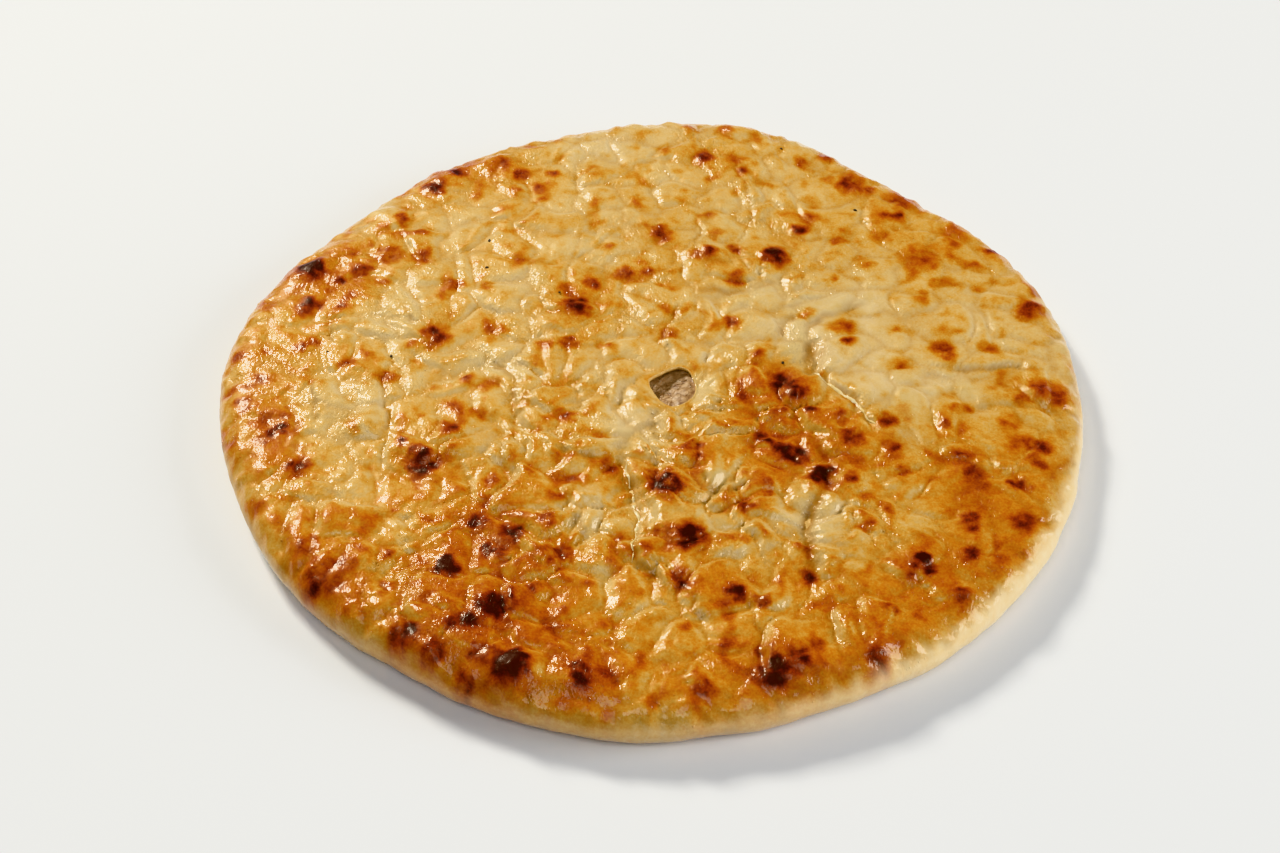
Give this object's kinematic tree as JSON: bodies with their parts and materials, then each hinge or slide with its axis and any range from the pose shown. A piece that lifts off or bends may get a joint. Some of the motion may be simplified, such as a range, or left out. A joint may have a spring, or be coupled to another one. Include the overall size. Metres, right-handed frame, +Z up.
{
  "type": "chicken cheese pie",
  "caption": "Round flat closed pie: a browned, buttered dough crust with a steam vent in its top, filled from side to side with chicken and cheese.",
  "frame": {"origin": "middle of the pie's box, on the flat underside", "axes": "+Z up through the pie's thickness, -Y towards the side that faces the viewer, +X to the viewer's right"},
  "size_m": [0.3358, 0.3331, 0.022],
  "materials": {
    "crust": "baked yeast dough, golden to dark brown in spots, glossed all over with melted butter, cream along the side",
    "filling": "moist chopped chicken in melted cheese, beige grey"
  },
  "bodies": {
    "root": {"crust": "crust", "filling": "filling"}
  },
  "joints": []
}
